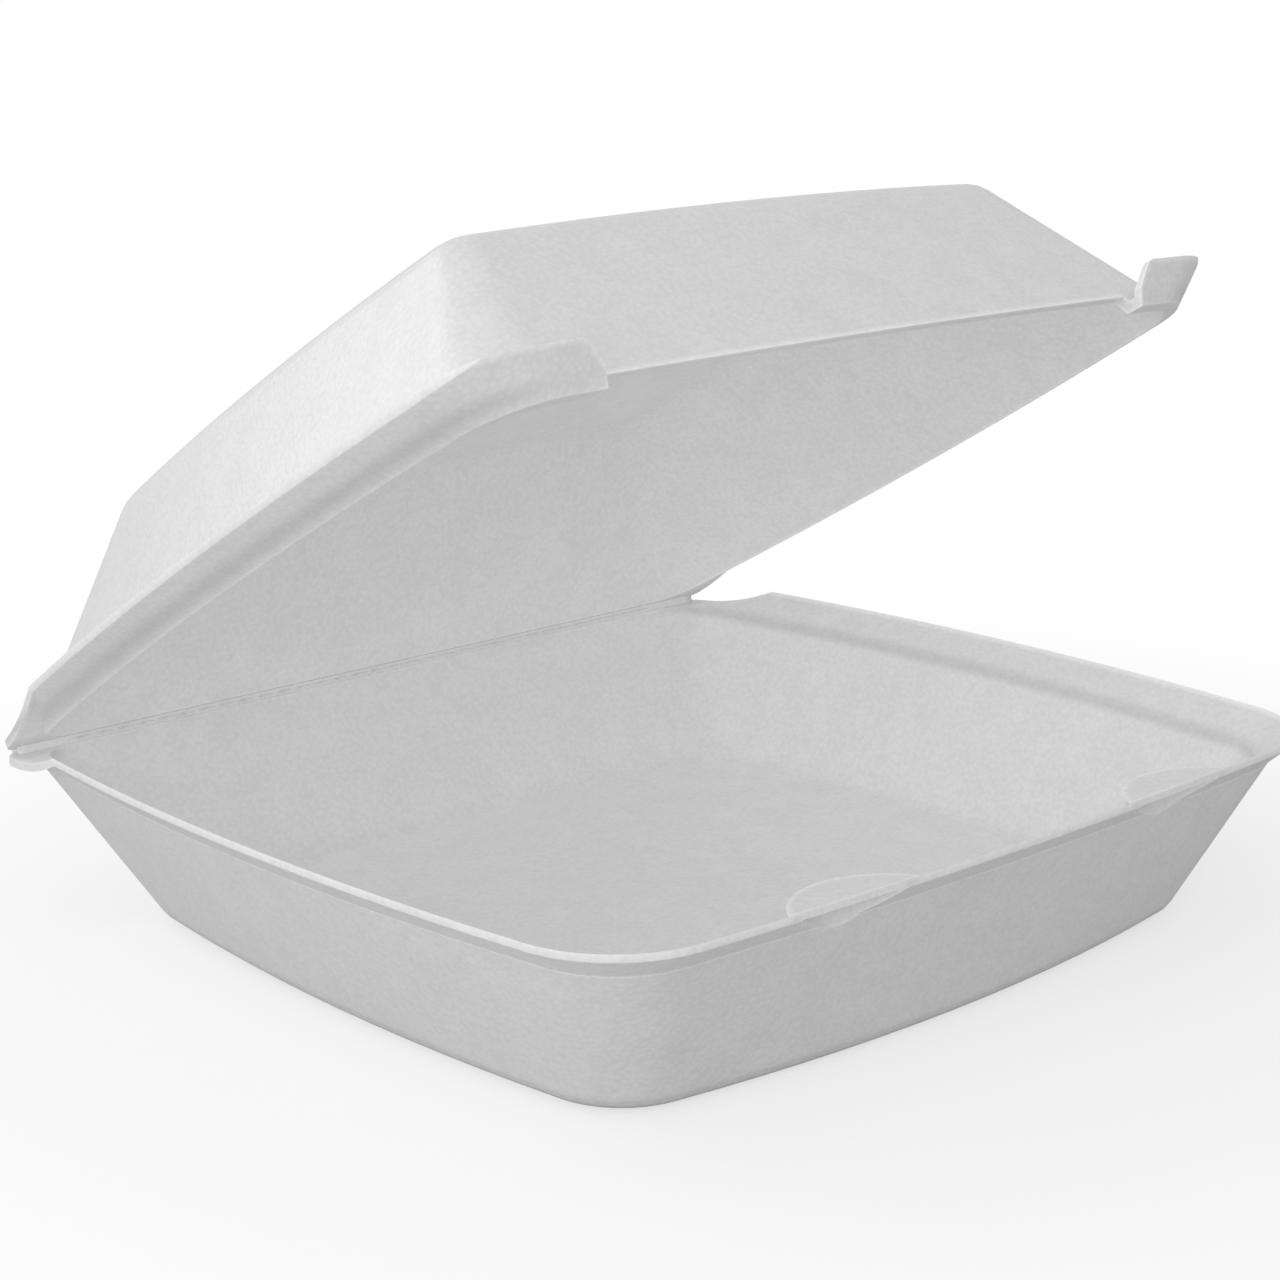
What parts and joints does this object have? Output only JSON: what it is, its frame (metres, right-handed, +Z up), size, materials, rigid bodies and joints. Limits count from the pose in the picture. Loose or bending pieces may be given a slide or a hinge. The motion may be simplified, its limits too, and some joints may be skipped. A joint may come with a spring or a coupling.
{
  "type": "foam takeout container",
  "caption": "White foam takeout container: a square tray with a flared rim and undercut front locks, and a domed lid with lifting ears on a perforated fold.",
  "frame": {"origin": "on the table under the tray, halfway between the fold line and the middle of the front rim", "axes": "+Z up, +X along the fold line, +Y from the front rim to the fold line"},
  "size_m": [0.214, 0.1953, 0.1499],
  "materials": {
    "foam": "matte white expanded foam sheet with a faint bead grain and a soft satin sheen"
  },
  "bodies": {
    "base": {"base_tray": "foam"},
    "lid": {"hinged_lid": "foam"}
  },
  "joints": [
    {"name": "lid_fold", "type": "hinge", "parent": "base", "child": "lid", "pos_m": [0, 0.09725, 0.0336], "axis": [-1, 0, 0], "range_deg": [-30, 137]}
  ]
}
